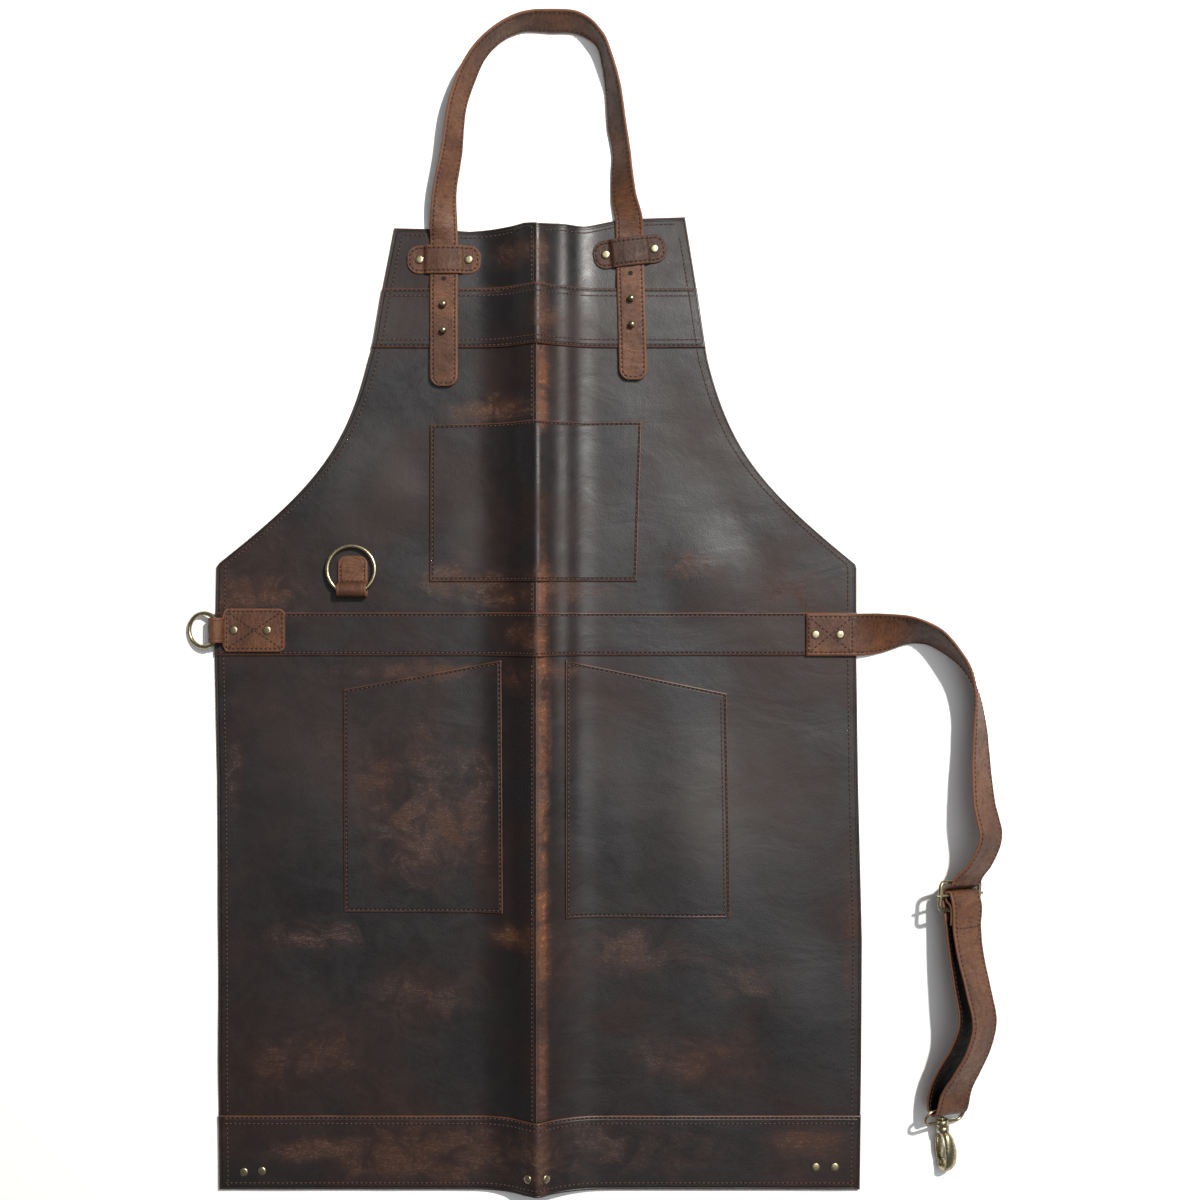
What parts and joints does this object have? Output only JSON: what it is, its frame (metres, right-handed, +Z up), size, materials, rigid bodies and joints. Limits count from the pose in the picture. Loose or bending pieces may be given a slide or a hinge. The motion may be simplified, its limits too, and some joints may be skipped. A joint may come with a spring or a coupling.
{
  "type": "blacksmith apron",
  "caption": "Full-length leather work apron with bib, reinforcing bands, chest and hip pockets, buttoned neck strap, and an adjustable waist strap with a snap hook that meets a ring.",
  "frame": {"origin": "on the floor under the middle of the lying apron's outline", "axes": "+Y up the apron to the neck strap, +X to the viewer's right, +Z up off the floor, front of the apron upward"},
  "size_m": [0.7708, 1.1152, 0.0573],
  "materials": {
    "panel_leather": "near-black oiled pull-up leather with a satin sheen, brown where it creases",
    "strap_leather": "reddish mid-brown oiled leather with darker edges and cross creases",
    "antique_brass": "antique brass, dull in the recesses and rubbed bright on the edges"
  },
  "bodies": {
    "apron": {"panel_left": "panel_leather", "panel_right": "panel_leather", "chest_band": "panel_leather", "waist_band": "panel_leather", "hem_band": "panel_leather", "chest_pocket": "panel_leather", "hip_pocket_left": "panel_leather", "hip_pocket_right": "panel_leather", "neck_strap": "strap_leather", "waist_strap": "strap_leather", "keeper_left": "strap_leather", "keeper_right": "strap_leather", "tool_ring_tab": "strap_leather", "waist_ring_tab": "strap_leather", "rivet_hem_1": "antique_brass", "rivet_hem_2": "antique_brass", "rivet_hem_3": "antique_brass", "rivet_hem_4": "antique_brass", "rivet_hem_5": "antique_brass", "rivet_hem_6": "antique_brass", "rivet_keeper_left_left": "antique_brass", "rivet_keeper_left_right": "antique_brass", "rivet_keeper_right_left": "antique_brass", "rivet_keeper_right_right": "antique_brass", "rivet_patch_left": "antique_brass", "rivet_patch_right": "antique_brass", "rivet_ring_tab_left": "antique_brass", "rivet_ring_tab_right": "antique_brass", "stud_lower_left": "antique_brass", "stud_lower_right": "antique_brass", "stud_upper_left": "antique_brass", "stud_upper_right": "antique_brass", "slider": "antique_brass"},
    "tool_ring": {"tool_ring": "antique_brass"},
    "waist_ring": {"waist_ring": "antique_brass"},
    "hook_bail": {"hook_bail": "antique_brass"},
    "hook_body": {"hook_body": "antique_brass"},
    "hook_gate": {"hook_gate": "antique_brass"}
  },
  "joints": [
    {"name": "tool_ring_hinge", "type": "hinge", "parent": "apron", "child": "tool_ring", "pos_m": [-0.22833, 0.01214, 0.00943], "axis": [1, 0, 0], "range_deg": [0, 178]},
    {"name": "waist_ring_hinge", "type": "hinge", "parent": "apron", "child": "waist_ring", "pos_m": [-0.35562, -0.02603, 0.01167], "axis": [0, 1, 0], "range_deg": [0, 180]},
    {"name": "bail_hinge", "type": "hinge", "parent": "apron", "child": "hook_bail", "pos_m": [0.3344, -0.47673, 0.01797], "axis": [-0.8462, 0.0563, 0.5299], "range_deg": [-45, 45]},
    {"name": "hook_swivel", "type": "hinge", "parent": "hook_bail", "child": "hook_body", "pos_m": [0.3304, -0.49055, 0.01306], "axis": [0.1215, -0.9895, -0.0785], "continuous": true},
    {"name": "gate_hinge", "type": "hinge", "parent": "hook_body", "child": "hook_gate", "pos_m": [0.32886, -0.50569, 0.00667], "axis": [-0.8272, -0.1446, 0.543], "range_deg": [0, 24], "stiffness_Nm_per_rad": 0.03, "springref_deg": -11.46}
  ]
}
